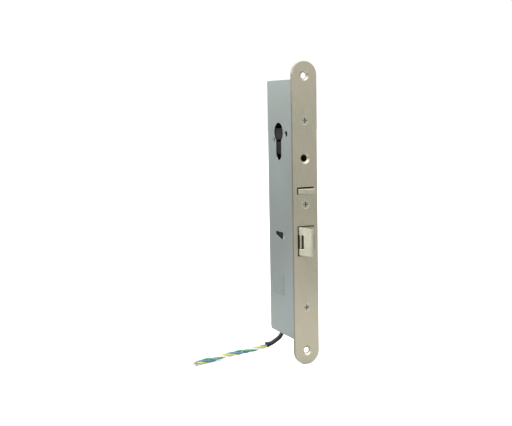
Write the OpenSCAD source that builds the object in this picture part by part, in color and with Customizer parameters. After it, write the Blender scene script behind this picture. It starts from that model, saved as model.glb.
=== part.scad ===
// Electric mortise lock with a Euro-profile cylinder hole, a wedge latch and a short auxiliary latch.
// Millimetres. Y = 0 is the front of the faceplate and +Y runs into the door, +Z is up.
// X runs across the door's thickness. The origin is midway between the two fixing holes.

/* [Faceplate] */
// Overall length of the faceplate
plate_len = 270; // [266:1:276]
// Width of the faceplate
plate_w = 24; // [24:0.5:26]
// Thickness of the faceplate
plate_t = 3; // [2.5:0.25:3]
// Distance between the two fixing holes
fix_gap = 245; // [240:1:247]
// Radius of the fixing holes
fix_r = 2.75; // [2.25:0.25:3]
// Height of the cylinder screw above the origin
cyl_screw_z = 50.5; // [50:0.1:51]

/* [Case] */
// Top face of the case
case_top = 119.4; // [117:0.1:120]
// Bottom face of the case
case_bot = -113.5; // [-114:0.1:-113]
// Rear face of the case, from the faceplate's front
case_rear = 57.5; // [55:0.5:58]
// Overall width of the case
case_w = 17; // [17:0.1:17.6]
// Sheet thickness of the side walls
wall = 1; // [0.8:0.1:1]

/* [Cylinder hole] */
// Backset: distance from the faceplate's front to the cylinder's axis
backset = 35; // [34.5:0.1:35.5]
// Height of the cylinder's axis
cyl_z = 72.7; // [72.2:0.1:73]
// Radius of the round part of the hole
cyl_r = 8.75; // [8.6:0.05:9]
// Width of the leg of the hole
cyl_leg = 10.2; // [10.1:0.1:10.6]
// Overall height of the hole
cyl_h = 33.8; // [33.4:0.1:34]

/* [Main latch] */
// Height of the middle of the latch
latch_z = -22.5; // [-23:0.1:-22.4]
// Width of the latch
latch_w = 14.2; // [13:0.1:14.4]
// Height of the latch
latch_h = 25.4; // [24:0.2:25.4]
// How far the latch stands out of the faceplate
latch_out = 12; // [10:0.5:12]
// Straight land on the far side of the latch, in front of the faceplate
latch_land = 2; // [0.5:0.5:3]
// Fall of the latch's top towards its nose, in degrees
latch_fall = 5.5; // [1:0.5:6]

/* [Auxiliary latch] */
// Height of the middle of the auxiliary latch
aux_z = 21.6; // [21.6:0.1:22]
// Width of the auxiliary latch
aux_w = 14.5; // [13:0.1:14.6]
// Thickness of the auxiliary latch
aux_h = 4.4; // [4.2:0.1:4.8]
// How far its high side stands out of the faceplate
aux_out = 4.6; // [3:0.1:4.6]

/* [Solenoid] */
// Radius of the plunger
plunger_r = 3.5; // [3:0.1:3.5]
// Radius of the winding
winding_r = 6.4; // [5.6:0.1:6.6]

/* [Cable] */
// Diameter of the black sleeve
sleeve_d = 4.2; // [3.6:0.1:4.2]
// Diameter of the bundle of wires
bundle_d = 4.4; // [3.8:0.1:4.4]

/* [Hidden] */
$fn = 48;
hw = case_w / 2;
in_x = hw - wall;
front_t = 1.2;
front_y = plate_t + front_t;
in_rear = case_rear - wall;
in_top = case_top - wall;
in_bot = case_bot + wall;
slot_x = 8.2;
bottom_in = cyl_z + cyl_r - cyl_h;

// Heights of the three screws that hold the faceplate to the case
case_screw_z = [83.7, 10, -82.8];
// Places (Y, Z) of the pillars between the case and its cover
pillar_at = [[10, 111], [48, 111], [48, 36], [12, 34], [12, -50], [49, -50], [10, -106]];

// Places (Y, Z) of the pivots and of the pins on the cylinder lever
lever_at = [26, 40];
stud_at = [23.5, 65.5];
drive_at = [20, -20];
pawl_at = [45, -38];
link_at = [30, -40];

// Position of the solenoid's axis in Y and the heights along it
sol_y = 30;
yoke_top = -60;
yoke_bot = -96;
plunger_top = -76.3;
plunger_bot = -105.5;
core_bot = -73;

// Where the cable leaves the case, and its route as round points
exit_x = -2;
exit_y = 47;
bend_r = 8.4;
bend_z = -114.2;
sleeve_top = -108;
sleeve_end = [-18, 48, -127.4];
sleeve_path = concat(
    [[exit_x, exit_y, sleeve_top], [exit_x, exit_y, -111], [exit_x, exit_y, bend_z]],
    [for (a = [12:12:60])
        [exit_x + bend_r * cos(a) - bend_r, exit_y, bend_z - bend_r * sin(a)]],
    [[-9.2, 47.1, -123.3], [-12.4, 47.3, -125], [-15.2, 47.6, -126.3], sleeve_end]);
wires_path = [
    sleeve_end, [-23, 48, -128.2], [-30, 48, -128.8], [-38, 48, -129.5], [-46, 48, -130.1],
    [-54, 48, -130.9], [-62, 47.8, -131.5], [-70, 47.2, -132.2], [-78, 46, -132.7],
    [-86, 44, -132.8], [-91, 42, -132.8]];

// Helpers: a block between two corners, and round bars along X, Y and Z
module slab(a, b) {
    translate(a)
        cube(b - a);
}

module bar_x(y, z, x0, x1, r, r2 = -1) {
    translate([x0, y, z])
        rotate([0, 90, 0])
            cylinder(h = x1 - x0, r1 = r, r2 = r2 < 0 ? r : r2);
}

module bar_y(x, z, y0, y1, r, r2 = -1) {
    translate([x, y0, z])
        rotate([-90, 0, 0])
            cylinder(h = y1 - y0, r1 = r, r2 = r2 < 0 ? r : r2);
}

module bar_z(x, y, z0, z1, r, r2 = -1) {
    translate([x, y, z0])
        cylinder(h = z1 - z0, r1 = r, r2 = r2 < 0 ? r : r2);
}

// Extrudes a drawing made in (Y, Z) from x0 to x1
module sheet_yz(x0, x1) {
    translate([x0, 0, 0])
        rotate([90, 0, 90])
            linear_extrude(x1 - x0)
                children();
}

// Extrudes a drawing made in (X, Z) from y0 to y1
module sheet_xz(y0, y1) {
    translate([0, y1, 0])
        rotate([90, 0, 0])
            linear_extrude(y1 - y0)
                children();
}

// A straight arm between two points, wide wa at a and wb at b
module arm(a, b, wa, wb) {
    d = (b - a) / norm(b - a);
    n = [-d[1], d[0]];
    polygon([a + n * wa / 2, b + n * wb / 2, b - n * wb / 2, a - n * wa / 2]);
}

// The Euro profile: a circle with a round-ended leg below it
module euro_profile(grow = 0) {
    leg_r = cyl_leg / 2 + grow;
    translate([backset, cyl_z])
        circle(r = cyl_r + grow);
    translate([backset - leg_r, bottom_in + cyl_leg / 2])
        square([2 * leg_r, cyl_z - bottom_in - cyl_leg / 2]);
    translate([backset, bottom_in + cyl_leg / 2])
        circle(r = leg_r);
}

// Side outline of the case, with a folded radius at the two rear corners
module case_outline(y0, y1, z0, z1, low_r, high_r) {
    translate([y0, z0 + low_r])
        square([y1 - y0, z1 - z0 - low_r - high_r]);
    translate([y0, z0])
        square([y1 - y0 - low_r, z1 - z0]);
    translate([y1 - low_r, z0 + low_r])
        circle(r = low_r);
    translate([y0, z1 - high_r])
        square([y1 - y0 - high_r, high_r]);
    translate([y1 - high_r, z1 - high_r])
        circle(r = high_r);
}

// Crossed recess of a screw head whose face looks along -Y
module cross_recess(x, z, y0, size, deep) {
    for (a = [0, 90])
        translate([x, y0, z])
            rotate([0, a, 0])
                translate([-size / 2, -1, -size / 9])
                    cube([size, deep + 1, size / 4.5]);
}

// A round-wire coil spring along +Z with closed ends
module coil(rm, rw, len, turns) {
    seg = 14;
    side = 6;
    n = turns * seg;
    pts = [for (i = [0:n]) for (k = [0:side - 1])
        let (a = 360 * i / seg, b = 360 * k / side, r = rm + rw * cos(b))
            [r * cos(a), r * sin(a), rw + (len - 2 * rw) * i / n + rw * sin(b)]];
    skin = [for (i = [0:n - 1]) for (k = [0:side - 1])
        let (j = (k + 1) % side)
            [i * side + k, i * side + j, (i + 1) * side + j, (i + 1) * side + k]];
    low = [for (k = [side - 1:-1:0]) k];
    high = [for (k = [0:side - 1]) n * side + k];
    polyhedron(points = pts, faces = concat(skin, [low, high]), convexity = 10);
}

// A tube swept along a list of points, its rings held square to the route
function unit(v) = v / norm(v);
function tangent(p, i) = unit(p[min(i + 1, len(p) - 1)] - p[max(i - 1, 0)]);
function ring(p, i, d, side) =
    let (t = tangent(p, i), b = unit(cross(t, [0, 1, 0])), n = cross(b, t))
        [for (k = [0:side - 1]) p[i] + d / 2 * (n * cos(360 * k / side) + b * sin(360 * k / side))];

module cord_tube(p, d, side = 8) {
    n = len(p) - 1;
    pts = [for (i = [0:n]) each ring(p, i, d, side)];
    skin = [for (i = [0:n - 1]) for (k = [0:side - 1])
        let (j = (k + 1) % side)
            [i * side + k, (i + 1) * side + k, (i + 1) * side + j, i * side + j]];
    low = [for (k = [0:side - 1]) k];
    high = [for (k = [side - 1:-1:0]) n * side + k];
    polyhedron(points = pts, faces = concat([low, high], skin), convexity = 10);
}

// Faceplate with its fixing holes, screw seats, cylinder screw hole and two latch slots
module faceplate() {
    half = plate_len / 2;
    color([0.70, 0.69, 0.62])
        difference() {
            sheet_xz(0, plate_t) {
                translate([-plate_w / 2, -half + plate_w / 2])
                    square([plate_w, plate_len - plate_w]);
                for (s = [-1, 1])
                    translate([0, s * (half - plate_w / 2)])
                        circle(r = plate_w / 2);
            }
            for (s = [-1, 1]) {
                bar_y(0, s * fix_gap / 2, -1, plate_t + 1, fix_r);
                bar_y(0, s * fix_gap / 2, -0.25, 1.35, 4.7, fix_r);
            }
            for (z = case_screw_z) {
                bar_y(0, z, -1, plate_t + 1, 2);
                bar_y(0, z, -0.2, 1.8, 4, 2);
            }
            bar_y(0, cyl_screw_z, -1, plate_t + 1, 2.65);
            bar_y(0, cyl_screw_z, -0.2, 2, 4.85, 2.65);
            slab([-slot_x, -1, 19.1], [slot_x, plate_t + 1, 25.2]);
            slab([-slot_x, -1, -36.1], [slot_x, plate_t + 1, -9.3]);
        }
}

// Folded steel tray: one side wall, the top, the bottom, the rear and the front flange
module case_body() {
    color([0.62, 0.65, 0.64])
        difference() {
            sheet_yz(-hw, hw - wall)
                case_outline(plate_t, case_rear, case_bot, case_top, 2.6, 1.3);
            sheet_yz(-in_x, hw)
                case_outline(front_y, in_rear, in_bot, in_top, 1.6, 0.3);
            sheet_yz(-hw - 1, 0)
                euro_profile();
            // Tapered slot in the side for turning the latch, dished at its front end
            sheet_yz(-hw - 1, 0)
                polygon([[29.6, -18.2], [29.6, -24.6], [31.6, -24.6], [42.9, -21.1], [42.9, -18.2]]);
            bar_x(28, -20.2, -hw - 0.1, -hw + 0.7, 4.8, 1.2);
            // Small countersunk hole before the cylinder, and a shallow mark behind it
            bar_x(20, 71.6, -hw - 1, 0, 1.6);
            bar_x(20, 71.6, -hw - 0.2, -hw + 0.8, 3.2, 1.6);
            bar_x(45, 65.6, -hw - 1, -hw + 0.4, 2.6);
            // Openings in the front flange
            slab([-in_x, 0, 19], [in_x + wall, 10, 25.4]);
            slab([-in_x, 0, -36.1], [in_x + wall, 10, -9.3]);
            bar_y(0, cyl_screw_z, 0, 10, 3.2);
            for (z = case_screw_z)
                bar_y(0, z, 0, 10, 2);
            bar_z(exit_x, exit_y, case_bot - 1, 0, 3.5);
        }
}

// Flat cover that closes the tray on the other side
module case_cover() {
    color([0.60, 0.63, 0.62])
        difference() {
            sheet_yz(hw - wall, hw)
                case_outline(plate_t, case_rear, case_bot, case_top, 2.6, 1.3);
            sheet_yz(0, hw + 1)
                euro_profile();
            for (p = pillar_at) {
                bar_x(p[0], p[1], 0, hw + 1, 1.5);
                bar_x(p[0], p[1], hw - 1, hw, 1.5, 2.5);
            }
        }
}

// Tapped blocks behind the front flange for the faceplate screws
module mounting_blocks() {
    color([0.45, 0.45, 0.46])
        for (z = case_screw_z)
            difference() {
                slab([-6, front_y, z - 5], [6, front_y + 6, z + 5]);
                bar_y(0, z, 0, 20, 2);
            }
}

// Countersunk cross-head screws through the faceplate
module faceplate_screws() {
    color([0.72, 0.72, 0.70])
        for (z = case_screw_z)
            difference() {
                union() {
                    bar_y(0, z, 0.1, 1.8, 3.7, 2);
                    bar_y(0, z, 1.8, 9.5, 2);
                }
                cross_recess(0, z, 0.1, 4.4, 1.3);
            }
}

// Pillars that space the cover from the tray
module cover_pillars() {
    color([0.55, 0.55, 0.56])
        for (p = pillar_at)
            difference() {
                bar_x(p[0], p[1], -in_x, in_x, 3);
                bar_x(p[0], p[1], 0, in_x + 1, 1.5);
            }
}

// Countersunk screws that hold the cover on
module cover_screws() {
    color([0.70, 0.70, 0.70])
        for (p = pillar_at)
            difference() {
                union() {
                    bar_x(p[0], p[1], in_x, hw, 1.5, 2.5);
                    bar_x(p[0], p[1], 0.5, in_x, 1.5);
                }
                translate([hw, p[0], p[1]])
                    rotate([0, 0, 90])
                        cross_recess(0, 0, 0, 2.9, 0.8);
            }
}

// Steel channel behind the cylinder hole
module guard_plate() {
    color([0.50, 0.51, 0.52])
        difference() {
            slab([-in_x, 51.2, 52], [in_x, in_rear, 75.8]);
            slab([-in_x - 1, 52.4, 54], [in_x + 1, case_rear, 73.8]);
            slab([-5, 50, 63.4], [5, 53, 65.6]);
        }
}

// Wedge latch: two slanted faces meet at a blunt nose
module latch_bolt() {
    w = latch_w / 2;
    n = latch_out;
    z0 = latch_z - latch_h / 2;
    color([0.78, 0.77, 0.72])
        difference() {
            translate([0, 0, z0])
                linear_extrude(latch_h)
                    polygon([
                        [-w, 13], [-w, 0], [-1.1, -n + 0.7], [-0.5, -n],
                        [0.5, -n], [1.1, -n + 0.7], [w, -latch_land], [w, 13]]);
            translate([0, 0, z0 + latch_h])
                rotate([latch_fall, 0, 0])
                    slab([-w - 1, -20, 0], [w + 1, 0, 4]);
            slab([-w - 1, -4.6, -29.2], [w + 1, 7.6, -17]);
            bar_z(0, 3.5, z0 + 0.5, z0 + latch_h + 1, 1.25);
            slab([-1.5, 9.6, -29], [1.5, 14, -13]);
            bar_x(11.3, -21, -w - 1, w + 1, 1.5);
        }
}

// Flat steel tail of the latch with the drive slot and the blocking lug
module latch_tail() {
    color([0.42, 0.42, 0.44])
        sheet_yz(-1.5, 1.5)
            difference() {
                union() {
                    polygon([[9.6, -29], [39, -29], [41, -27], [41, -15], [39, -13], [9.6, -13]]);
                    translate([20, -33])
                        square([6, 5]);
                }
                translate([11.3, -21])
                    circle(r = 1.5);
                for (s = [-0.4, 0.4])
                    translate([drive_at[0], drive_at[1] + s])
                        circle(r = 2.4);
                translate([drive_at[0] - 2.4, drive_at[1] - 0.4])
                    square([4.8, 0.8]);
            }
}

// Cross pin that holds the tail in the latch
module tail_pin() {
    color([0.66, 0.66, 0.66])
        bar_x(11.3, -21, 0.4 - latch_w / 2, latch_w / 2 - 0.4, 1.5);
}

// Upright pin the anti-friction rocker turns on
module rocker_pin() {
    color([0.66, 0.66, 0.66])
        bar_z(0, 3.5, latch_z - latch_h / 2 + 0.5, latch_z + latch_h / 2 - 0.3, 1.25);
}

// U-shaped rocker whose two edges show in the sides of the latch
module antifriction_rocker() {
    z0 = -28.9;
    z1 = -17.3;
    color([0.60, 0.60, 0.55])
        difference() {
            union() {
                bar_z(0, 3.5, z0, z1, 3);
                translate([0, 0, z0])
                    linear_extrude(z1 - z0)
                        polygon([
                            [-6.5, 4.7], [-6.5, -0.8], [-5.7, -2.1], [-4.9, -2.1], [-4.9, 2.3],
                            [4.9, 2.3], [4.9, -2.1], [5.7, -2.1], [6.5, -0.8], [6.5, 4.7]]);
            }
            bar_z(0, 3.5, z0 - 1, z1 + 1, 1.3);
        }
}

// Plastic block that guides the tail and stops the latch spring
module tail_guide() {
    color([0.07, 0.07, 0.08])
        difference() {
            slab([-in_x, 30, -32], [1.9, 43, -10]);
            slab([-1.8, 29, -29.3], [3, 44, -12.7]);
            slab([-in_x - 1, 29, -33], [3, 39, -29.3]);
        }
}

module latch_spring() {
    color([0.75, 0.75, 0.77])
        translate([-4.6, 13, -22])
            rotate([-90, 0, 0])
                coil(2.2, 0.35, 17, 7);
}

// Slanted auxiliary latch on a round stem
module aux_latch() {
    w = aux_w / 2;
    color([0.78, 0.77, 0.72]) {
        translate([0, 0, aux_z - aux_h / 2])
            linear_extrude(aux_h)
                polygon([[-w, -0.6], [w, -aux_out], [w, 8], [-w, 8]]);
        bar_y(0, aux_z, 8, 27, 1.8);
    }
}

// Spring clip that keeps the auxiliary latch in its guide
module aux_clip() {
    color([0.20, 0.20, 0.22])
        difference() {
            bar_y(0, aux_z, 21.4, 22.4, 3.6);
            bar_y(0, aux_z, 21, 23, 1.8);
            slab([-1.2, 21, aux_z], [1.2, 23, aux_z + 5]);
        }
}

module aux_guide() {
    color([0.55, 0.56, 0.57])
        difference() {
            slab([-in_x, 18.5, 15.5], [3.2, 21, 28]);
            bar_y(0, aux_z, 18, 22, 2.2);
        }
}

module aux_spring() {
    color([0.75, 0.75, 0.77])
        translate([0, 8, aux_z])
            rotate([-90, 0, 0])
                coil(2.55, 0.3, 10.5, 6);
}

// Fork sensor that reads the stem of the auxiliary latch
module door_sensor() {
    color([0.06, 0.06, 0.07])
        difference() {
            slab([-in_x, 28.5, 16.8], [4.1, 40, 26.8]);
            slab([-2.6, 28, 16], [2.6, 36.5, 28]);
        }
}

// Fork sensor that reads the end of the latch tail
module latch_sensor() {
    color([0.06, 0.06, 0.07])
        difference() {
            slab([-in_x, 44.5, -24], [4.2, in_rear, -7]);
            slab([-2.2, 44, -25], [2.2, in_rear + 1, -12]);
        }
}

// Lever the cylinder's cam pushes on; its lower end draws the latch back
module cylinder_lever() {
    color([0.48, 0.48, 0.50])
        difference() {
            union() {
                sheet_yz(4.6, 6.6)
                    arm(lever_at, stud_at, 7, 6);
                sheet_yz(4.6, 6.6)
                    arm(lever_at, drive_at, 8, 7);
                bar_x(lever_at[0], lever_at[1], 4.6, 6.6, 5);
                bar_x(stud_at[0], stud_at[1], 4.6, 6.6, 3.6);
                bar_x(drive_at[0], drive_at[1], 4.6, 6.6, 4);
            }
            bar_x(lever_at[0], lever_at[1], 4, 7, 2.05);
            bar_x(stud_at[0], stud_at[1], 4, 7, 2);
            bar_x(drive_at[0], drive_at[1], 4, 7, 2);
        }
}

module cam_stud() {
    color([0.68, 0.68, 0.68])
        bar_x(stud_at[0], stud_at[1], -4.5, 6.8, 2);
}

module drive_pin() {
    color([0.68, 0.68, 0.68])
        bar_x(drive_at[0], drive_at[1], -1.5, 6.8, 2);
}

// Stepped post the cylinder lever turns on
module lever_post() {
    color([0.58, 0.58, 0.60]) {
        bar_x(lever_at[0], lever_at[1], -in_x, 4.4, 3.5);
        bar_x(lever_at[0], lever_at[1], 4.4, in_x, 2);
    }
}

// Pawl that swings up behind the tail's lug and blocks the latch
module blocking_pawl() {
    p = pawl_at;
    color([0.50, 0.47, 0.36])
        sheet_yz(-1.5, 1.5)
            difference() {
                union() {
                    polygon([
                        [26.6, -43], [34, -43], [p[0], p[1] - 3.5], [p[0], p[1] + 3.5],
                        [34, -36], [30, -36], [30, -33.6], [26.6, -33.6]]);
                    translate(p)
                        circle(r = 3.5);
                }
                translate(p)
                    circle(r = 1.8);
                translate([link_at[0] - 2.2, link_at[1] - 1.9])
                    square([4.4, 3.8]);
            }
}

// Stepped post the pawl turns on
module pawl_post() {
    color([0.58, 0.58, 0.60]) {
        bar_x(pawl_at[0], pawl_at[1], -in_x, -1.8, 3);
        bar_x(pawl_at[0], pawl_at[1], -1.8, in_x, 1.75);
    }
}

module pawl_spacer() {
    color([0.72, 0.60, 0.30])
        difference() {
            bar_x(pawl_at[0], pawl_at[1], 1.8, in_x, 3);
            bar_x(pawl_at[0], pawl_at[1], 1, in_x + 1, 1.75);
        }
}

// Closed steel frame of the solenoid
module solenoid_yoke() {
    color([0.40, 0.41, 0.43])
        difference() {
            slab([-in_x, sol_y - 11, yoke_bot], [6.8, sol_y + 11, yoke_top]);
            slab([-in_x - 1, sol_y - 9, yoke_bot + 2.5], [8, sol_y + 9, yoke_top - 2.5]);
            bar_z(0, sol_y, yoke_bot - 1, yoke_bot + 4, plunger_r + 0.4);
            bar_z(0, sol_y, yoke_top - 4, yoke_top + 1, 2);
        }
}

module solenoid_bobbin() {
    z0 = yoke_bot + 2.5;
    z1 = yoke_top - 2.5;
    color([0.85, 0.84, 0.78])
        difference() {
            union() {
                bar_z(0, sol_y, z0, z1, 4.6);
                bar_z(0, sol_y, z0, z0 + 1.2, winding_r + 0.4);
                bar_z(0, sol_y, z1 - 1.2, z1, winding_r + 0.4);
            }
            bar_z(0, sol_y, z0 - 1, z1 + 1, 3.9);
        }
}

module solenoid_winding() {
    color([0.65, 0.30, 0.12])
        difference() {
            bar_z(0, sol_y, yoke_bot + 3.7, yoke_top - 3.7, winding_r);
            bar_z(0, sol_y, yoke_bot, yoke_top, 4.6);
        }
}

module solenoid_core() {
    color([0.52, 0.53, 0.55])
        difference() {
            bar_z(0, sol_y, core_bot, yoke_top - 2.5, 3.9);
            bar_z(0, sol_y, core_bot - 1, yoke_top, 2);
        }
}

// Plunger with the flange its return spring pushes on
module plunger() {
    color([0.62, 0.63, 0.65]) {
        bar_z(0, sol_y, plunger_bot, plunger_top, plunger_r);
        bar_z(0, sol_y, plunger_bot - 1.5, plunger_bot, 5.5);
    }
}

// Brass rod with a fork that lifts the pawl
module push_rod() {
    color([0.78, 0.62, 0.30])
        difference() {
            union() {
                bar_z(0, sol_y, plunger_top, -47, 1.6);
                slab([-3.6, 27, -47], [3.6, 33, -38]);
            }
            slab([-1.8, 26, -44.4], [1.8, 34, -37]);
            bar_x(link_at[0], link_at[1], -5, 5, 1.5);
        }
}

module link_pin() {
    color([0.68, 0.68, 0.68])
        bar_x(link_at[0], link_at[1], -3.6, 3.6, 1.5);
}

module plunger_spring() {
    color([0.75, 0.75, 0.77])
        translate([0, sol_y, plunger_bot])
            coil(4.6, 0.35, yoke_bot - plunger_bot, 4);
}

// Small circuit board on the side wall, with a driver chip
module control_board() {
    color([0.10, 0.33, 0.18])
        slab([-in_x, 43, -101], [-in_x + 1.6, 53, -57]);
}

module driver_chip() {
    color([0.08, 0.08, 0.09])
        slab([-in_x + 1.6, 44.5, -77], [-in_x + 4, 51.5, -66]);
}

// Terminal block where the cable's cores end
module terminal_block() {
    x0 = -in_x + 1.6;
    color([0.16, 0.45, 0.28])
        difference() {
            slab([x0, 43.5, -98], [3.5, 52.5, -84]);
            for (y = [45, 47.1, 49.2, 51.3])
                bar_x(y, -91, 2.3, 4, 0.8);
        }
}

module cable_cores() {
    hue = [[0.95, 0.95, 0.93], [0.85, 0.80, 0.20], [0.15, 0.50, 0.35], [0.15, 0.40, 0.65]];
    for (i = [0:3])
        color(hue[i])
            bar_z(exit_x + (i % 2 == 0 ? -0.8 : 0.8), exit_y + (i < 2 ? -0.8 : 0.8),
                sleeve_top, -98, 0.65);
}

// Two thin wires that rise from the solenoid, cross over and come down on the board
module solenoid_leads() {
    r = 0.6;
    x = 1.6 + r - in_x;
    hue = [[0.70, 0.12, 0.10], [0.75, 0.75, 0.72]];
    // Each lead: Y where it leaves the solenoid, Y on the board, height of the crossing
    leads = [[36, 45, -56.2], [33.5, 48.2, -53.9]];
    for (i = [0, 1])
        let (y0 = leads[i][0], y1 = leads[i][1], z = leads[i][2])
            color(hue[i]) {
                bar_z(x, y0, yoke_top, z, r);
                bar_y(x, z, y0, y1, r);
                bar_z(x, y1, -61, z, r);
                for (y = [y0, y1])
                    translate([x, y, z])
                        sphere(r = r);
            }
}

// Rubber grommet in the bottom wall
module cable_grommet() {
    color([0.05, 0.05, 0.05])
        difference() {
            union() {
                bar_z(exit_x, exit_y, case_bot - 1.4, case_bot, 4.6);
                bar_z(exit_x, exit_y, case_bot, in_bot, 3.5);
                bar_z(exit_x, exit_y, in_bot, in_bot + 1.2, 4.6);
            }
            bar_z(exit_x, exit_y, case_bot - 3, in_bot + 3, sleeve_d / 2 + 0.15);
        }
}

module cable_sleeve() {
    color([0.06, 0.06, 0.06])
        cord_tube(sleeve_path, sleeve_d);
}

module cable_wires() {
    color([0.55, 0.68, 0.35])
        cord_tube(wires_path, bundle_d);
}

// Bare ends of the wires
module wire_tips() {
    p = wires_path[len(wires_path) - 1];
    color([0.80, 0.78, 0.74])
        translate(p)
            rotate([0, -90, 22])
                for (y = [-1, 1], z = [-1, 1])
                    translate([z, y, 0])
                        cylinder(h = 3.5, r = 0.45);
}

// Blank film patch on the side wall
module side_label() {
    color([0.68, 0.70, 0.70])
        slab([-hw - 0.15, 28.5, -77], [-hw, 51.5, -58]);
}

faceplate();
case_body();
case_cover();
mounting_blocks();
faceplate_screws();
cover_pillars();
cover_screws();
guard_plate();
latch_bolt();
latch_tail();
tail_pin();
rocker_pin();
antifriction_rocker();
tail_guide();
latch_spring();
aux_latch();
aux_clip();
aux_guide();
aux_spring();
door_sensor();
latch_sensor();
cylinder_lever();
cam_stud();
drive_pin();
lever_post();
blocking_pawl();
pawl_post();
pawl_spacer();
solenoid_yoke();
solenoid_bobbin();
solenoid_winding();
solenoid_core();
plunger();
push_rod();
link_pin();
plunger_spring();
control_board();
driver_chip();
terminal_block();
cable_cores();
solenoid_leads();
cable_grommet();
cable_sleeve();
cable_wires();
wire_tips();
side_label();
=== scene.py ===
"""Looks of an electric mortise lock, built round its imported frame. Metres, +Z up, +Y into the door."""
import math

import bmesh
import bpy
from mathutils import Matrix, Vector, noise as perlin


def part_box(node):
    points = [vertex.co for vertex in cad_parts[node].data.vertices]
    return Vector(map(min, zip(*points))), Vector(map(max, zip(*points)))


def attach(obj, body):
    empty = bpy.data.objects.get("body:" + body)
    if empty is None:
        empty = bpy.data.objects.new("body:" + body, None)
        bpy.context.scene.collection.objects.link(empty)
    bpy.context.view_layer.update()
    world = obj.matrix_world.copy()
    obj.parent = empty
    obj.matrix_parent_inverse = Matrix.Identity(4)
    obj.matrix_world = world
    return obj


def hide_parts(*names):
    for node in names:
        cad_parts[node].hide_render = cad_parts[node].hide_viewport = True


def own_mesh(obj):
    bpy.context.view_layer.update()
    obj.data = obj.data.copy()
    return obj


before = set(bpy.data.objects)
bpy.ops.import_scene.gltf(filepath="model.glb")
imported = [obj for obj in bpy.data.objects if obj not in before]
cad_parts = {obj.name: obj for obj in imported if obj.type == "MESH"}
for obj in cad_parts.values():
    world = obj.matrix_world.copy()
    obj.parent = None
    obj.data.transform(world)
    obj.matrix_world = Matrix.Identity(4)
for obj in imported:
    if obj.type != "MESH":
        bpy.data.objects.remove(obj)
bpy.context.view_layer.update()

MM = 0.001
UP = Vector((0, 0, 1))

# ---------------------------------------------------------------- driving sizes

# Camera: place, direction in degrees, and lens and sensor in millimetres
CAMERA_AT = Vector((-363.9, -695.2, 99.5)) * MM
CAMERA_YAW = 24.42
CAMERA_PITCH = 7.02
CAMERA_ROLL = -1.05
CAMERA_LENS = 62.8
CAMERA_SENSOR = 36

# Cable: the route's points, the sleeve's end and the twisted wires
EXIT_X = -2
EXIT_Y = 47
BEND_R = 8.4
BEND_Z = -114.2


def bend_point(degrees):
    """A point on the bend just below the grommet, degrees round from its start."""
    a = math.radians(degrees)
    return (EXIT_X + BEND_R * math.cos(a) - BEND_R, EXIT_Y, BEND_Z - BEND_R * math.sin(a))


SLEEVE_ROUTE = [
    (EXIT_X, EXIT_Y, -108), (EXIT_X, EXIT_Y, -111), (EXIT_X, EXIT_Y, BEND_Z),
    *[bend_point(a) for a in range(12, 61, 12)],
    (-9.2, 47.1, -123.3), (-12.4, 47.3, -125), (-15.2, 47.6, -126.3), (-18, 48, -127.4),
]
WIRES_ROUTE = [
    (-23, 48, -128.2), (-30, 48, -128.8), (-38, 48, -129.5), (-46, 48, -130.1),
    (-54, 48, -130.9), (-62, 47.8, -131.5), (-70, 47.2, -132.2), (-78, 46, -132.7),
    (-86, 44, -132.8), (-91, 42, -132.8),
]
PATH_STEP = 0.5 * MM
SLEEVE_R = 2.1 * MM
SLEEVE_WALL = 0.3 * MM
STRAND_R = 0.88 * MM
TWIST_PITCH = 34 * MM
TWIST_START = 214
FLARE_LEN = 6 * MM
FLARE = 0.8
TIP_LEN = 5 * MM
TIP_R = 0.42 * MM
TIP_STEPS = 12
TIP_LOBES = 7
TIP_TAPER = 0.35

# How far past the sleeve the strands reach their full looseness
LOOSEN_LEN = 12 * MM

# Corners of each round outline, and points on each span of a curve before it is resampled
STRAND_SIDES = 12
SLEEVE_SIDES = 24
TIP_SIDES = 28
SPRING_SIDES = 10
SPAN_STEPS = 24

FLOOR_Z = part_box("faceplate")[0][2]

# Brightness of the studio at the horizon and overhead, its tint, and the backdrop's brightness
ROOM_LOW = 0.58
ROOM_HIGH = 2.4
ROOM_TINT = (0.96, 0.98, 1)
BACKDROP = 1.05

# Lamps, all aimed at the origin: name, place and side in metres, power in watts
LAMPS = (
    ("window", (-1.45, 0.2, 0.55), 0.8, 9),
    ("rim", (-0.75, 1.45, 0.5), 0.5, 1.6),
)

# Light the floor paper gives back by itself, as a lit studio sweep does, how far from the
# object it is lit, in metres, and the share of its light the object gets near and beyond that
FLOOR_GLOW = 0.22
POOL_NEAR = 0.45
POOL_FROM = 0.24
POOL_TO = 0.40
POOL_REST = 0.26
FLOOR_HALF = 6

# Boxes, in millimetres, whose sheet surfaces lie out of the light, and how dark each is, from
# 0 to 1: inside the case, the sides of the cylinder hole, the sides of the slot for turning
# the latch, and the small countersunk hole before the cylinder
SHADED_BOXES = (
    ((-7.8, 4, -112.8), (7.8, 56.6, 118.6), 1),
    ((-8.45, 25, 51.5), (8.45, 45, 82), 1),
    ((-8.45, 29.5, -24.7), (-7, 43.2, -18.1), 1),
    ((-8.45, 16.6, 68.2), (-7, 23.4, 75), 0.8),
)

# Coil springs: node, joint, middle of the fixed and of the moving end in millimetres,
# radius of the coil and of the wire, turns, and the share left when the joint is at its limit
SPRINGS = (
    ("latch_spring", "latch_slide", (-4.6, 30, -22), (-4.6, 13, -22), 2.2, 0.35, 7, 0.294),
    ("aux_spring", "aux_slide", (0, 18.5, 21.6), (0, 8, 21.6), 2.55, 0.3, 6, 0.562),
    ("plunger_spring", "plunger_slide", (0, 30, -96), (0, 30, -105.5), 4.6, 0.35, 4, 0.684),
)

# Steps in each turn of a spring, and how flat its first and last turns lie
COIL_STEPS = 28
END_FLATNESS = 0.8

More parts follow.
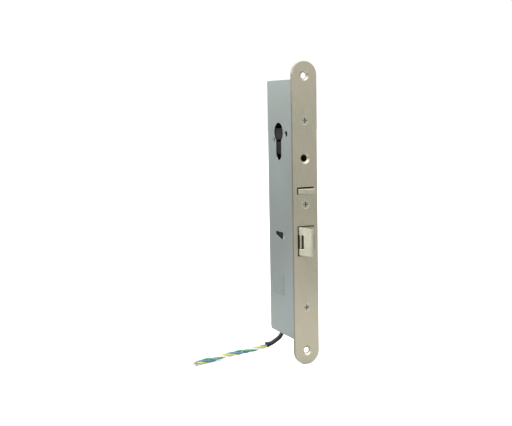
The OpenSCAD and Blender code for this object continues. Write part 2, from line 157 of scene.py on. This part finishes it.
# Before rounding: the gap that is welded, and the fold, in degrees, that still counts as flat.
# Only folds sharper than SHARP_ANGLE are rounded.
WELD_GAP = 0.002 * MM
FLAT_ANGLE = 0.4
SHARP_ANGLE = 40

# Edge rounding of the visible hard parts, in millimetres
EDGE_RADII = {
    "faceplate": 0.3, "case_body": 0.15, "case_cover": 0.15, "latch_bolt": 0.25,
    "aux_latch": 0.45, "faceplate_screws": 0.1, "cover_screws": 0.08,
    "antifriction_rocker": 0.12,
}


# ---------------------------------------------------------------- camera

def add_camera():
    yaw, pitch, roll = (math.radians(a) for a in (CAMERA_YAW, CAMERA_PITCH, CAMERA_ROLL))
    ahead = Vector((
        math.sin(yaw) * math.cos(pitch), math.cos(yaw) * math.cos(pitch), -math.sin(pitch)))
    right = ahead.cross(UP).normalized()
    above = right.cross(ahead)
    side = right * math.cos(roll) + above * math.sin(roll)
    top = above * math.cos(roll) - right * math.sin(roll)
    data = bpy.data.cameras.new("camera")
    data.sensor_width = CAMERA_SENSOR
    data.lens = CAMERA_LENS
    data.clip_start = 0.01
    camera = bpy.data.objects.new("camera", data)
    turn = Matrix((side, top, -ahead)).transposed().to_4x4()
    camera.matrix_world = Matrix.Translation(CAMERA_AT) @ turn
    bpy.context.scene.collection.objects.link(camera)
    bpy.context.scene.camera = camera


# ---------------------------------------------------------------- mesh helpers

def add_object(name, mesh_maker, materials, smooth=35):
    """Makes an object from what mesh_maker draws in a bmesh."""
    work = bmesh.new()
    mesh_maker(work)
    bmesh.ops.recalc_face_normals(work, faces=work.faces)
    data = bpy.data.meshes.new(name)
    work.to_mesh(data)
    work.free()
    for material in materials:
        data.materials.append(material)
    data.shade_smooth()
    data.set_sharp_from_angle(angle=math.radians(smooth))
    made = bpy.data.objects.new(name, data)
    bpy.context.scene.collection.objects.link(made)
    return made


def curve_through(points, step):
    """Catmull-Rom curve through the points, resampled at an even step."""
    knots = [points[0] * 2 - points[1], *points, points[-1] * 2 - points[-2]]
    dense = []
    for a, b, c, d in zip(knots, knots[1:], knots[2:], knots[3:]):
        for i in range(SPAN_STEPS):
            t = i / SPAN_STEPS
            dense.append(0.5 * (
                2 * b + (c - a) * t + (2 * a - 5 * b + 4 * c - d) * t * t
                + (3 * b - a - 3 * c + d) * t ** 3))
    dense.append(points[-1])
    even = [dense[0]]
    left = step
    for a, b in zip(dense, dense[1:]):
        span = (b - a).length
        while span >= left > 0:
            a = a + (b - a).normalized() * left
            even.append(a)
            span -= left
            left = step
        left -= span
    return even


def frames_along(path):
    """A point, a normal and a binormal for each point, turned no more than the path needs."""
    normal = Vector((0, 1, 0))
    found = []
    for i, point in enumerate(path):
        along = (path[min(i + 1, len(path) - 1)] - path[max(i - 1, 0)]).normalized()
        normal = (normal - along * normal.dot(along)).normalized()
        found.append((point, normal, along.cross(normal)))
    return found


def sweep(work, rings, material=0, caps=True):
    """Skins a list of rings, each a list of as many points."""
    rows = [[work.verts.new(p) for p in ring] for ring in rings]
    count = len(rows[0])
    for low, high in zip(rows, rows[1:]):
        for k in range(count):
            j = (k + 1) % count
            work.faces.new((low[k], low[j], high[j], high[k])).material_index = material
    if caps:
        work.faces.new(rows[0][::-1]).material_index = material
        work.faces.new(rows[-1]).material_index = material


def round_ring(at, normal, other, radius, sides):
    return [
        at + radius * (normal * math.cos(a) + other * math.sin(a))
        for a in (2 * math.pi * k / sides for k in range(sides))]


# ---------------------------------------------------------------- material helpers

class Shader:
    """A node material under construction, with short names for the nodes that repeat."""

    def __init__(self, name):
        self.material = bpy.data.materials.new(name)
        self.material.use_nodes = True
        self.tree = self.material.node_tree
        self.tree.nodes.clear()
        self.out = self.node("ShaderNodeOutputMaterial")
        self.body = self.node("ShaderNodeBsdfPrincipled")
        self.link(self.body.outputs["BSDF"], self.out.inputs["Surface"])
        self.place = self.node("ShaderNodeTexCoord").outputs["Object"]

    def node(self, kind, **settings):
        made = self.tree.nodes.new(kind)
        for key, value in settings.items():
            setattr(made, key, value)
        return made

    def link(self, a, b):
        self.tree.links.new(a, b)

    def stretch(self, scale):
        """Object coordinates times scale, so that 1000 makes a feature about 1 mm long."""
        made = self.node("ShaderNodeMapping")
        made.inputs["Scale"].default_value = scale
        self.link(self.place, made.inputs["Vector"])
        return made.outputs["Vector"]

    def noise(self, scale, detail=3.0, rough=0.55):
        made = self.node("ShaderNodeTexNoise")
        made.inputs["Scale"].default_value = 1.0
        made.inputs["Detail"].default_value = detail
        made.inputs["Roughness"].default_value = rough
        self.link(self.stretch(scale), made.inputs["Vector"])
        return made.outputs["Fac"]

    def cells(self, scale, feature="F1"):
        made = self.node("ShaderNodeTexVoronoi", feature=feature)
        made.inputs["Scale"].default_value = 1.0
        self.link(self.stretch(scale), made.inputs["Vector"])
        return made

    def ramp(self, value, low, high, colour_a, colour_b):
        made = self.node("ShaderNodeValToRGB")
        first, last = made.color_ramp.elements
        first.position, last.position = low, high
        first.color, last.color = (*colour_a, 1), (*colour_b, 1)
        self.link(value, made.inputs["Fac"])
        return made.outputs["Color"]

    def spread(self, value, low, high, to_low, to_high):
        made = self.node("ShaderNodeMapRange")
        for key, number in zip(
                ("From Min", "From Max", "To Min", "To Max"), (low, high, to_low, to_high)):
            made.inputs[key].default_value = number
        self.link(value, made.inputs["Value"])
        return made.outputs["Result"]

    def blend(self, factor, a, b, how="MIX"):
        made = self.node("ShaderNodeMix", data_type="RGBA", blend_type=how)
        for value, key in ((factor, 0), (a, 6), (b, 7)):
            if isinstance(value, (int, float)):
                made.inputs[key].default_value = value
            elif isinstance(value, tuple):
                made.inputs[key].default_value = (*value, 1)
            else:
                self.link(value, made.inputs[key])
        return made.outputs[2]

    def sum(self, a, b, how="ADD"):
        made = self.node("ShaderNodeMath", operation=how)
        for value, key in ((a, 0), (b, 1)):
            if isinstance(value, (int, float)):
                made.inputs[key].default_value = value
            else:
                self.link(value, made.inputs[key])
        return made.outputs[0]

    def edge_mask(self, radius):
        """About 1 on edges sharper than radius and 0 on flat faces."""
        bevel = self.node("ShaderNodeBevel", samples=6)
        bevel.inputs["Radius"].default_value = radius
        flat = self.node("ShaderNodeNewGeometry").outputs["Normal"]
        dot = self.node("ShaderNodeVectorMath", operation="DOT_PRODUCT")
        self.link(bevel.outputs["Normal"], dot.inputs[0])
        self.link(flat, dot.inputs[1])
        return self.spread(dot.outputs["Value"], 0.995, 0.93, 0.0, 1.0)

    def box_mask(self, low, high):
        """1 inside a box given in millimetres, and 0 outside it."""
        middle = [(a + b) / 2 * MM for a, b in zip(low, high)]
        half = [(b - a) / 2 * MM for a, b in zip(low, high)]
        offset = self.node("ShaderNodeVectorMath", operation="SUBTRACT")
        self.link(self.place, offset.inputs[0])
        offset.inputs[1].default_value = middle
        size = self.node("ShaderNodeVectorMath", operation="ABSOLUTE")
        self.link(offset.outputs[0], size.inputs[0])
        past = self.node("ShaderNodeVectorMath", operation="SUBTRACT")
        self.link(size.outputs[0], past.inputs[0])
        past.inputs[1].default_value = half
        split = self.node("ShaderNodeSeparateXYZ")
        self.link(past.outputs[0], split.inputs[0])
        worst = self.sum(split.outputs[0], split.outputs[1], "MAXIMUM")
        return self.sum(self.sum(worst, split.outputs[2], "MAXIMUM"), 0.0, "LESS_THAN")

    def normal_part(self, axis):
        """How far a face looks along X, Y or Z (0, 1 or 2) of the node's own frame."""
        way = self.node("ShaderNodeTexCoord")
        split = self.node("ShaderNodeSeparateXYZ")
        self.link(way.outputs["Normal"], split.inputs[0])
        return split.outputs[axis]

    def upward_mask(self):
        """1 on faces that look nearly straight up in the node's own frame, and 0 elsewhere."""
        return self.spread(self.normal_part(2), 0.93, 0.985, 0.0, 1.0)

    def rim_mask(self):
        """1 on the faces that stand square to the faceplate's front, and 0 elsewhere."""
        return self.spread(self.sum(self.normal_part(1), 0.0, "ABSOLUTE"), 0.15, 0.5, 1.0, 0.0)

    def recess_shade_mask(self, reach):
        """About 1 deep in recesses and corners, and 0 on open faces: where painted shade goes."""
        hidden = self.node("ShaderNodeAmbientOcclusion", samples=6, only_local=True)
        hidden.inputs["Distance"].default_value = reach
        return self.spread(hidden.outputs["AO"], 0.25, 0.8, 1.0, 0.0)

    def bump(self, height, strength, distance):
        made = self.node("ShaderNodeBump")
        made.inputs["Strength"].default_value = strength
        made.inputs["Distance"].default_value = distance
        self.link(height, made.inputs["Height"])
        self.link(made.outputs["Normal"], self.body.inputs["Normal"])

    def set(self, **values):
        for key, value in values.items():
            self.body.inputs[key.replace("_", " ")].default_value = value


def metal(name, dark, light, rough, grain=(900, 900, 900), tint=None, cloud=60, depth=0.02,
          worn=None, recess_shade=0.7, reach=1.2, shaded=(), upward_darkening=0.0, rim_shade=0.0):
    """Metal with a directional grain, clouds of tint, worn bright edges and painted shade in corners and
    recesses.

    Boxes in shaded are darkened as painted shade; upward faces can be darkened by a share of their own,
    and the faces square to the front, such as the plate's rim, by another, as painted shade.
    """
    s = Shader(name)
    fine = s.noise(grain, 4.0, 0.6)
    wide = s.noise((cloud, cloud, cloud * 0.6), 3.0, 0.5)
    colour = s.ramp(fine, 0.36, 0.66, dark, light)
    if tint:
        colour = s.blend(s.spread(wide, 0.35, 0.7, 0.0, 0.55), colour, tint)
    edge = s.sum(s.edge_mask(0.35 * MM), s.spread(wide, 0.3, 0.6, 0.35, 1.0), "MULTIPLY")
    colour = s.blend(edge, colour, worn or tuple(min(1.0, c * 1.25) for c in light))
    # Painted shade: recesses and corners are darkened in colour.
    darkening = s.sum(s.recess_shade_mask(reach * MM), recess_shade, "MULTIPLY")
    # Painted shade: inside each shaded box the colour is darkened by its share.
    for low, high, share in shaded:
        darkening = s.sum(darkening, s.sum(s.box_mask(low, high), share, "MULTIPLY"), "MAXIMUM")
    # Painted shade: faces square to the front, which the window lamp lights from the side, are darkened
    # in colour.
    if rim_shade:
        darkening = s.sum(darkening, s.sum(s.rim_mask(), rim_shade, "MULTIPLY"), "MAXIMUM")
    # Upward faces are darkened in colour by the given share.
    if upward_darkening:
        darkening = s.sum(darkening, s.sum(s.upward_mask(), upward_darkening, "MULTIPLY"), "MAXIMUM")
    # Painted shade, and the darkening of upward faces, pull the colour towards a near-black tone of the
    # metal.
    colour = s.blend(darkening, colour, tuple(c * 0.06 for c in dark))
    s.link(colour, s.body.inputs["Base Color"])
    shine = s.spread(s.sum(fine, wide), 0.7, 1.3, rough - 0.06, rough + 0.08)
    shine = s.sum(shine, s.sum(edge, 0.12, "MULTIPLY"), "SUBTRACT")
    s.link(shine, s.body.inputs["Roughness"])
    s.set(Metallic=1.0)
    s.bump(fine, 0.25, depth * MM)
    return s.material


def plastic(name, dark, light, rough=0.45, grain=2200, depth=0.015, gloss=0.5):
    """Moulded plastic with a fine spark-eroded texture and slightly rubbed edges."""
    s = Shader(name)
    fine = s.noise((grain, grain, grain), 3.0, 0.6)
    wide = s.noise((90, 90, 90), 3.0)
    colour = s.ramp(wide, 0.35, 0.68, dark, light)
    edge = s.sum(s.edge_mask(0.25 * MM), s.spread(wide, 0.3, 0.6, 0.2, 0.8), "MULTIPLY")
    colour = s.blend(edge, colour, tuple(min(1.0, c * 1.5 + 0.02) for c in light))
    s.link(colour, s.body.inputs["Base Color"])
    s.link(s.spread(s.sum(fine, wide), 0.7, 1.3, rough - 0.07, rough + 0.1),
           s.body.inputs["Roughness"])
    s.set(Specular_IOR_Level=gloss)
    s.bump(fine, 0.3, depth * MM)
    return s.material


# ---------------------------------------------------------------- materials of the frame

def satin_plate():
    # Painted shade darkens its recesses and the faces of its rim.
    return metal("satin_nickel", (0.58, 0.55, 0.41), (0.68, 0.645, 0.49), 0.30,
                 grain=(2600, 2600, 60), tint=(0.67, 0.565, 0.44), cloud=28, depth=0.012,
                 worn=(0.60, 0.57, 0.44), recess_shade=0.8, reach=0.7, rim_shade=0.45)


def zinc_sheet(name="zinc_sheet"):
    # Painted shade darkens its recesses a little, and the shaded boxes.
    return metal(name, (0.40, 0.44, 0.41), (0.48, 0.52, 0.485), 0.40,
                 grain=(1400, 1400, 700), tint=(0.40, 0.46, 0.45), cloud=24, depth=0.012,
                 worn=(0.52, 0.55, 0.52), recess_shade=0.2, shaded=SHADED_BOXES)


def zinc_cover():
    return zinc_sheet("zinc_cover_sheet")


def cast_latch():
    # Its upward faces are darker.
    return metal("nickelled_casting", (0.70, 0.675, 0.52), (0.80, 0.775, 0.61), 0.32,
                 grain=(900, 900, 900), cloud=120, depth=0.014, recess_shade=0.4, upward_darkening=0.6)


def aux_metal():
    return metal("nickelled_aux_casting", (0.62, 0.595, 0.465), (0.71, 0.69, 0.55), 0.34,
                 grain=(900, 900, 900), cloud=120, depth=0.014, worn=(0.90, 0.88, 0.76),
                 recess_shade=0.4)


def rocker_metal():
    return metal("sintered_rocker", (0.42, 0.41, 0.31), (0.52, 0.50, 0.39), 0.38,
                 grain=(2000, 2000, 2000), depth=0.02)


def dark_steel():
    return metal("phosphated_steel", (0.10, 0.10, 0.105), (0.19, 0.19, 0.195), 0.5,
                 grain=(1600, 1600, 1600), depth=0.02)


def bright_screw():
    # Painted shade darkens the recesses of the screw heads strongly and far in.
    return metal("nickelled_screw", (0.56, 0.535, 0.40), (0.66, 0.63, 0.48), 0.32,
                 grain=(3000, 3000, 3000), cloud=300, depth=0.008, recess_shade=1.0, reach=2.0)


def zinc_screw():
    return metal("zinc_screw_steel", (0.50, 0.52, 0.54), (0.68, 0.69, 0.70), 0.28,
                 grain=(3000, 3000, 3000), cloud=300, depth=0.008)


def plain_steel():
    return metal("turned_steel", (0.34, 0.34, 0.345), (0.48, 0.48, 0.485), 0.34,
                 grain=(4000, 300, 300), cloud=200)


def guard_steel():
    return metal("hardened_guard", (0.16, 0.17, 0.17), (0.24, 0.25, 0.25), 0.5,
                 grain=(300, 2400, 2400), cloud=100)


def tail_steel():
    return metal("blued_tail", (0.13, 0.135, 0.15), (0.24, 0.245, 0.26), 0.40,
                 grain=(2400, 120, 2400), cloud=100)


def pin_steel():
    return metal("ground_pin", (0.50, 0.50, 0.51), (0.66, 0.66, 0.67), 0.22,
                 grain=(5000, 700, 700), cloud=300, depth=0.006)


def spring_steel():
    return metal("spring_wire", (0.36, 0.36, 0.37), (0.62, 0.62, 0.63), 0.25,
                 grain=(2500, 2500, 2500), cloud=400, depth=0.01)


def clip_steel():
    return metal("black_oxide_clip", (0.03, 0.03, 0.035), (0.08, 0.08, 0.085), 0.38,
                 grain=(3000, 3000, 3000), depth=0.01, worn=(0.35, 0.35, 0.36))


def guide_steel():
    return metal("punched_guide", (0.33, 0.34, 0.35), (0.47, 0.48, 0.49), 0.38,
                 grain=(200, 2500, 2500), cloud=100)


def lever_steel():
    return metal("stamped_lever", (0.22, 0.22, 0.23), (0.35, 0.35, 0.36), 0.38,
                 grain=(2200, 2200, 160), cloud=80)


def post_steel():
    return metal("turned_post", (0.36, 0.36, 0.37), (0.50, 0.50, 0.51), 0.28,
                 grain=(5000, 250, 250), cloud=200)


def pawl_steel():
    return metal("yellow_zinc_pawl", (0.33, 0.27, 0.12), (0.52, 0.44, 0.22), 0.36,
                 grain=(900, 900, 900), tint=(0.42, 0.40, 0.34), cloud=120)


def brass():
    return metal("turned_brass", (0.53, 0.37, 0.13), (0.74, 0.55, 0.24), 0.28,
                 grain=(400, 400, 5000), tint=(0.46, 0.34, 0.16), cloud=120)


def yoke_steel():
    return metal("yoke_zinc", (0.27, 0.28, 0.30), (0.41, 0.42, 0.44), 0.42,
                 grain=(1500, 1500, 1500), cloud=70)


def core_steel():
    return metal("soft_iron_core", (0.28, 0.285, 0.29), (0.40, 0.405, 0.41), 0.4,
                 grain=(300, 300, 4000), cloud=150)


def plunger_steel():
    return metal("plated_plunger", (0.48, 0.49, 0.50), (0.64, 0.65, 0.66), 0.26,
                 grain=(300, 300, 4500), cloud=150)


def black_plastic():
    return plastic("black_moulding", (0.006, 0.006, 0.007), (0.014, 0.014, 0.016), rough=0.6,
                   gloss=0.2)


def bobbin_plastic():
    return plastic("natural_nylon", (0.62, 0.59, 0.49), (0.74, 0.72, 0.63), rough=0.38)


def terminal_green():
    return plastic("terminal_green", (0.015, 0.13, 0.06), (0.03, 0.19, 0.09), rough=0.4)


def black_rubber():
    return plastic("grommet_rubber", (0.008, 0.008, 0.008), (0.018, 0.018, 0.018), rough=0.62,
                   grain=1500, depth=0.03)


def insulation(name, dark, light):
    return plastic(name, dark, light, rough=0.33, grain=900, depth=0.008)


def core_insulation():
    return insulation("core_pvc", (0.55, 0.54, 0.50), (0.72, 0.71, 0.67))


def lead_red():
    return insulation("lead_red", (0.32, 0.012, 0.01), (0.48, 0.03, 0.02))


def copper_winding():
    """Enamelled wire: fine turns along the axis, with a few crossing over."""
    s = Shader("enamelled_copper")
    turns = s.node("ShaderNodeTexWave", wave_type="BANDS", bands_direction="Z")
    turns.inputs["Scale"].default_value = 1.0
    turns.inputs["Distortion"].default_value = 1.2
    turns.inputs["Detail"].default_value = 1.0
    s.link(s.stretch((120, 120, 900)), turns.inputs["Vector"])
    wide = s.noise((150, 150, 300))
    colour = s.ramp(turns.outputs["Fac"], 0.1, 0.8, (0.16, 0.035, 0.012), (0.58, 0.19, 0.07))
    colour = s.blend(s.spread(wide, 0.35, 0.7, 0.0, 0.5), colour, (0.42, 0.11, 0.04))
    s.link(colour, s.body.inputs["Base Color"])
    s.link(s.spread(wide, 0.3, 0.7, 0.22, 0.38), s.body.inputs["Roughness"])
    s.set(Metallic=0.85, Coat_Weight=0.5, Coat_Roughness=0.15)
    s.bump(turns.outputs["Fac"], 0.7, 0.12 * MM)
    return s.material


def board_green():
    """Circuit board: solder mask over darker tracks, on a woven laminate."""
    s = Shader("solder_mask")
    tracks = s.cells((0, 260, 260), "DISTANCE_TO_EDGE")
    wide = s.noise((120, 120, 120))
    line = s.spread(tracks.outputs["Distance"], 0.05, 0.09, 1.0, 0.0)
    colour = s.blend(line, (0.018, 0.12, 0.05), (0.03, 0.20, 0.085))
    colour = s.blend(s.spread(wide, 0.3, 0.7, 0.0, 0.4), colour, (0.012, 0.085, 0.04))
    s.link(colour, s.body.inputs["Base Color"])
    s.link(s.spread(wide, 0.3, 0.7, 0.22, 0.36), s.body.inputs["Roughness"])
    s.bump(line, 0.4, 0.04 * MM)
    return s.material


def black_sleeve():
    """Glossy heat-shrink sleeve with faint wrinkles."""
    s = Shader("shrink_sleeve")
    fine = s.noise((700, 700, 700), 4.0)
    wide = s.noise((140, 140, 140))
    s.link(s.ramp(wide, 0.3, 0.7, (0.006, 0.006, 0.007), (0.022, 0.022, 0.024)),
           s.body.inputs["Base Color"])
    s.link(s.spread(fine, 0.3, 0.7, 0.2, 0.36), s.body.inputs["Roughness"])
    s.bump(s.sum(fine, wide), 0.35, 0.12 * MM)
    return s.material


def tinned_wire():
    return metal("tinned_copper", (0.50, 0.49, 0.46), (0.72, 0.71, 0.68), 0.3,
                 grain=(900, 5000, 5000), cloud=400, depth=0.03)


def blank_film():
    """Blank matt film, almost the colour of the sheet under it."""
    s = Shader("blank_film")
    fine = s.noise((1800, 1800, 1800), 3.0)
    wide = s.noise((60, 60, 60))
    colour = s.ramp(wide, 0.3, 0.7, (0.225, 0.255, 0.24), (0.265, 0.29, 0.275))
    edge = s.edge_mask(0.12 * MM)
    colour = s.blend(edge, colour, (0.20, 0.22, 0.20))
    s.link(colour, s.body.inputs["Base Color"])
    s.link(s.spread(fine, 0.3, 0.7, 0.38, 0.5), s.body.inputs["Roughness"])
    s.set(Metallic=0.35)
    s.bump(fine, 0.2, 0.01 * MM)
    return s.material


SLOT_LOOKS = {
    "satin_plate": satin_plate, "zinc_case": zinc_sheet, "zinc_cover": zinc_cover,
    "dark_steel": dark_steel, "bright_screw": bright_screw, "plain_steel": plain_steel,
    "zinc_screw": zinc_screw, "guard_steel": guard_steel, "latch_metal": cast_latch,
    "aux_metal": aux_metal, "tail_steel": tail_steel, "pin_steel": pin_steel,
    "rocker_metal": rocker_metal, "black_plastic": black_plastic,
    "spring_steel": spring_steel, "clip_steel": clip_steel,
    "guide_steel": guide_steel, "lever_steel": lever_steel, "post_steel": post_steel,
    "pawl_steel": pawl_steel, "brass": brass, "yoke_steel": yoke_steel,
    "bobbin_plastic": bobbin_plastic, "copper_winding": copper_winding,
    "core_steel": core_steel, "plunger_steel": plunger_steel, "board_green": board_green,
    "terminal_green": terminal_green, "core_insulation": core_insulation,
    "lead_red": lead_red, "black_rubber": black_rubber, "black_sleeve": black_sleeve,
    "tinned_wire": tinned_wire, "blank_film": blank_film,
}


def paint_frame():
    """Gives every CAD node its finished material, slot by slot."""
    made = {}
    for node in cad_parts.values():
        for slot in node.material_slots:
            name = slot.material.name.split(".")[0]
            if name in SLOT_LOOKS and name not in made:
                made[name] = SLOT_LOOKS[name]()
            if name in made:
                slot.material = made[name]
    return made


def soften_edges():
    """Rounds the sharp edges of the hard parts by a small bevel."""
    for name, width in EDGE_RADII.items():
        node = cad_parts[name]
        weld = node.modifiers.new("weld", "WELD")
        weld.merge_threshold = WELD_GAP
        flat = node.modifiers.new("flat", "DECIMATE")
        flat.decimate_type = "DISSOLVE"
        flat.angle_limit = math.radians(FLAT_ANGLE)
        bevel = node.modifiers.new("round", "BEVEL")
        bevel.width = width * MM
        bevel.segments = 2
        bevel.limit_method = "ANGLE"
        bevel.angle_limit = math.radians(SHARP_ANGLE)
        bevel.harden_normals = True


# ---------------------------------------------------------------- cable

def strand_rail(k, rails, end_of_sleeve):
    """Centreline of strand k: tight in the sleeve, looser outside it, resting on the floor."""
    line = []
    for i, (at, normal, other) in enumerate(rails):
        out = max(0, i - end_of_sleeve) * PATH_STEP
        loose = min(1.0, out / LOOSEN_LEN)
        gap = perlin.noise(Vector((k * 7.3, out * 60, 0)))
        reach = STRAND_R * (1.02 + loose * (0.62 + 0.45 * gap))
        turn = math.radians(TWIST_START + 90 * k) + 2 * math.pi * i * PATH_STEP / TWIST_PITCH
        turn += 0.35 * loose * perlin.noise(Vector((k * 3.1, out * 45, 5)))
        p = at + reach * (normal * math.cos(turn) + other * math.sin(turn))
        p.z = max(p.z, FLOOR_Z + STRAND_R)
        line.append(p)
    return line


def draw_strands(work, lines):
    for k, line in enumerate(lines):
        sweep(work, [round_ring(*f, STRAND_R, STRAND_SIDES) for f in frames_along(line)], k)


def draw_sleeve(work, rails):
    """A tube with a wall, its far end flared on the upper side."""
    outer, inner = [], []
    for i, (at, normal, other) in enumerate(rails):
        from_end = (len(rails) - 1 - i) * PATH_STEP
        flare = max(0.0, 1 - from_end / FLARE_LEN) ** 1.5
        ring_out, ring_in = [], []
        for q in range(SLEEVE_SIDES):
            a = 2 * math.pi * q / SLEEVE_SIDES
            way = normal * math.cos(a) + other * math.sin(a)
            lift = 1 + flare * FLARE * max(0.0, way.z + 0.1)
            wave = 1 + 0.02 * perlin.noise(at * 500 + way * 2)
            ring_out.append(at + way * SLEEVE_R * lift * wave)
            ring_in.append(at + way * (SLEEVE_R * lift * wave - SLEEVE_WALL))
        outer.append(ring_out)
        inner.append(ring_in)
    sweep(work, outer + inner[::-1], 0, caps=False)
    work.verts.ensure_lookup_table()
    first, end = work.verts[:SLEEVE_SIDES], work.verts[-SLEEVE_SIDES:]
    for q in range(SLEEVE_SIDES):
        j = (q + 1) % SLEEVE_SIDES
        work.faces.new((first[q], first[j], end[j], end[q]))


def draw_tips(work, lines):
    """Bare twisted ends, each a lobed bar that turns along its length."""
    for line in lines:
        way = (line[-1] - line[-4]).normalized()
        level = Vector((way.x, way.y, way.z * 0.3)).normalized()
        bar = [line[-1] + level * TIP_LEN * i / TIP_STEPS for i in range(-1, TIP_STEPS + 1)]
        rings = []
        for i, (at, normal, other) in enumerate(frames_along(bar)):
            at.z = max(at.z, FLOOR_Z + TIP_R)
            taper = 1 - TIP_TAPER * max(0, i - TIP_STEPS + 2) / 3
            rings.append([
                at + TIP_R * taper * (0.86 + 0.14 * math.cos(TIP_LOBES * (a + 0.5 * i)))
                * (normal * math.cos(a) + other * math.sin(a))
                for a in (2 * math.pi * q / TIP_SIDES for q in range(TIP_SIDES))])
        sweep(work, rings)


def strand_colours():
    return [
        insulation("wire_yellow", (0.58, 0.57, 0.16), (0.76, 0.75, 0.30)),
        insulation("wire_blue", (0.08, 0.22, 0.34), (0.15, 0.33, 0.45)),
        insulation("wire_green", (0.09, 0.28, 0.17), (0.18, 0.42, 0.28)),
        insulation("wire_white", (0.78, 0.78, 0.72), (0.90, 0.90, 0.86)),
    ]


def make_cable(looks):
    route = [Vector(p) * MM for p in SLEEVE_ROUTE + WIRES_ROUTE]
    path = curve_through(route, PATH_STEP)
    rails = frames_along(path)
    end_of_sleeve = min(
        range(len(path)), key=lambda i: (path[i] - Vector(SLEEVE_ROUTE[-1]) * MM).length)
    colours = strand_colours()
    lines = [strand_rail(k, rails, end_of_sleeve) for k in range(len(colours))]
    wires = add_object("twisted_wires", lambda work: draw_strands(work, lines), colours)
    sleeve = add_object(
        "shrink_sleeve", lambda work: draw_sleeve(work, rails[:end_of_sleeve + 1]),
        [looks["black_sleeve"]])
    tips = add_object(
        "tinned_ends", lambda work: draw_tips(work, lines), [looks["tinned_wire"]], smooth=60)
    for piece, node, slot in (
            (wires, "cable_wires", "wire_bundle"), (sleeve, "cable_sleeve", "black_sleeve"),
            (tips, "wire_tips", "tinned_wire")):
        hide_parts(node)
        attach(piece, "lock_case")


# ---------------------------------------------------------------- springs

def coil_line(start, end, along, coil_r, turns):
    """Centreline of a coil from start to end, its first and last turns nearly flat."""
    side = Vector((1, 0, 0))
    other = along.cross(side)
    count = turns * COIL_STEPS
    line = []
    for i in range(count + 1):
        t = i / count
        rise = t + END_FLATNESS / turns * math.sin(2 * math.pi * t) / (2 * math.pi)
        a = 2 * math.pi * i / COIL_STEPS
        line.append(start.lerp(end, min(1.0, max(0.0, rise))) + coil_r * MM * (
            side * math.cos(a) + other * math.sin(a)))
    return line


def make_springs(looks):
    """Round-wire springs with closed ends."""
    for node, joint, fixed, free, coil_r, wire_r, turns, keep in SPRINGS:
        start, anchor = Vector(free) * MM, Vector(fixed) * MM
        along = (anchor - start).normalized()
        line = coil_line(
            start + along * wire_r * MM, anchor - along * wire_r * MM, along, coil_r, turns)

        def draw(work, line=line, wire_r=wire_r):
            sweep(work, [round_ring(*f, wire_r * MM, SPRING_SIDES) for f in frames_along(line)])

        piece = add_object(node + "_wire", draw, [looks["spring_steel"]], smooth=60)
        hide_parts(node)
        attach(piece, "lock_case")
        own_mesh(piece)


# ---------------------------------------------------------------- stage and light

def add_floor():
    s = Shader("floor_paper")
    wide = s.noise((3, 3, 3))
    paper = s.ramp(wide, 0.3, 0.7, (0.86, 0.86, 0.86), (0.90, 0.90, 0.90))
    away = s.node("ShaderNodeVectorMath", operation="LENGTH")
    s.link(s.place, away.inputs[0])
    pool = s.spread(away.outputs["Value"], POOL_FROM, POOL_TO, POOL_NEAR, POOL_REST)
    seen = s.node("ShaderNodeLightPath").outputs["Is Camera Ray"]
    pool = s.sum(pool, seen, "MAXIMUM")
    s.link(s.blend(pool, (0, 0, 0), paper), s.body.inputs["Base Color"])
    s.link(s.sum(pool, FLOOR_GLOW, "MULTIPLY"), s.body.inputs["Emission Strength"])
    s.link(s.spread(wide, 0.3, 0.7, 0.85, 0.95), s.body.inputs["Roughness"])
    s.set(Specular_IOR_Level=0.0)
    s.body.inputs["Emission Color"].default_value = (1, 1, 1, 1)

    def draw(work):
        bmesh.ops.create_grid(work, x_segments=2, y_segments=2, size=FLOOR_HALF)

    floor = add_object("floor", draw, [s.material])
    floor.location.z = FLOOR_Z


def add_lamp(name, at, side, power):
    data = bpy.data.lights.new(name, "AREA")
    data.shape = "RECTANGLE"
    data.size, data.size_y = side, side
    data.energy = power
    lamp = bpy.data.objects.new(name, data)
    lamp.location = at
    lamp.rotation_euler = (-lamp.location).to_track_quat("-Z", "Y").to_euler()
    bpy.context.scene.collection.objects.link(lamp)


def add_world():
    """White to the camera; to the object, a studio that brightens from the horizon upwards."""
    world = bpy.data.worlds.new("studio")
    bpy.context.scene.world = world
    world.use_nodes = True
    tree = world.node_tree
    tree.nodes.clear()
    out = tree.nodes.new("ShaderNodeOutputWorld")
    mix = tree.nodes.new("ShaderNodeMixShader")
    seen = tree.nodes.new("ShaderNodeBackground")
    room = tree.nodes.new("ShaderNodeBackground")
    ray = tree.nodes.new("ShaderNodeLightPath")
    seen.inputs["Color"].default_value = (1, 1, 1, 1)
    seen.inputs["Strength"].default_value = BACKDROP
    room.inputs["Color"].default_value = (*ROOM_TINT, 1)
    way = tree.nodes.new("ShaderNodeTexCoord")
    split = tree.nodes.new("ShaderNodeSeparateXYZ")
    rise = tree.nodes.new("ShaderNodeMapRange")
    rise.inputs["From Min"].default_value = 0.0
    rise.inputs["To Min"].default_value = ROOM_LOW
    rise.inputs["To Max"].default_value = ROOM_HIGH
    tree.links.new(way.outputs["Generated"], split.inputs[0])
    tree.links.new(split.outputs["Z"], rise.inputs["Value"])
    tree.links.new(rise.outputs["Result"], room.inputs["Strength"])
    tree.links.new(ray.outputs["Is Camera Ray"], mix.inputs[0])
    tree.links.new(room.outputs[0], mix.inputs[1])
    tree.links.new(seen.outputs[0], mix.inputs[2])
    tree.links.new(mix.outputs[0], out.inputs["Surface"])


add_camera()
looks = paint_frame()
make_cable(looks)
make_springs(looks)
soften_edges()
add_floor()
add_world()
for lamp in LAMPS:
    add_lamp(*lamp)
bpy.context.scene.view_settings.view_transform = "Standard"
